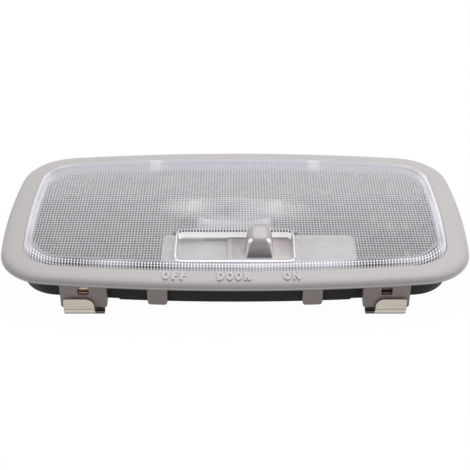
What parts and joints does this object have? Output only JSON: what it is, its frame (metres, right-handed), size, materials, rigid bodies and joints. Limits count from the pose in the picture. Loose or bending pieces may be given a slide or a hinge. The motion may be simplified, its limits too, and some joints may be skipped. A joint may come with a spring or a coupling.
{
  "type": "car dome light",
  "caption": "Overhead cabin light with a bowed grey frame, a clear prismatic lens, a sliding three-position switch, a festoon bulb in a dark housing and sprung steel clips.",
  "frame": {"origin": "centre of the footprint, on the floor that the four clips rest on", "axes": "+X along the lamp's length towards the ON side, +Y away from the viewer towards the edge opposite the switch, +Z out of the lens"},
  "size_m": [0.176, 0.096, 0.0241],
  "materials": {
    "grey_plastic": "fine satin grain",
    "clear_plastic": "clear with small prisms",
    "dark_plastic": "satin",
    "pale_plastic": "satin",
    "knob_plastic": "satin",
    "white_plastic": "smooth",
    "spring_steel": "plain",
    "copper_strip": "rolled strip",
    "bulb_glass": "clear",
    "nickel_cap": "plated",
    "tungsten": "drawn wire",
    "reflector_sheet": "bright sheet",
    "clip_steel": "nickel-plated spring strip"
  },
  "bodies": {
    "lamp": {"bezel": "grey_plastic", "lens": "clear_plastic", "rear_housing": "dark_plastic", "switch_base": "pale_plastic", "common_busbar": "copper_strip", "power_busbar": "copper_strip", "door_busbar": "copper_strip", "ground_busbar": "copper_strip", "bulb_glass": "bulb_glass", "bulb_cap_left": "nickel_cap", "bulb_cap_right": "nickel_cap", "bulb_filament": "tungsten", "reflector": "reflector_sheet", "spring_clip_front_left": "clip_steel", "spring_clip_front_right": "clip_steel", "spring_clip_rear_left": "clip_steel", "spring_clip_rear_right": "clip_steel"},
    "knob": {"switch_knob": "knob_plastic", "slider_carriage": "white_plastic", "contact_spring": "spring_steel", "contact_bridge": "copper_strip"}
  },
  "joints": [
    {"name": "knob_slide", "type": "slide", "parent": "lamp", "child": "knob", "axis": [1, 0, 0], "range_m": [-0.018, 0]}
  ]
}
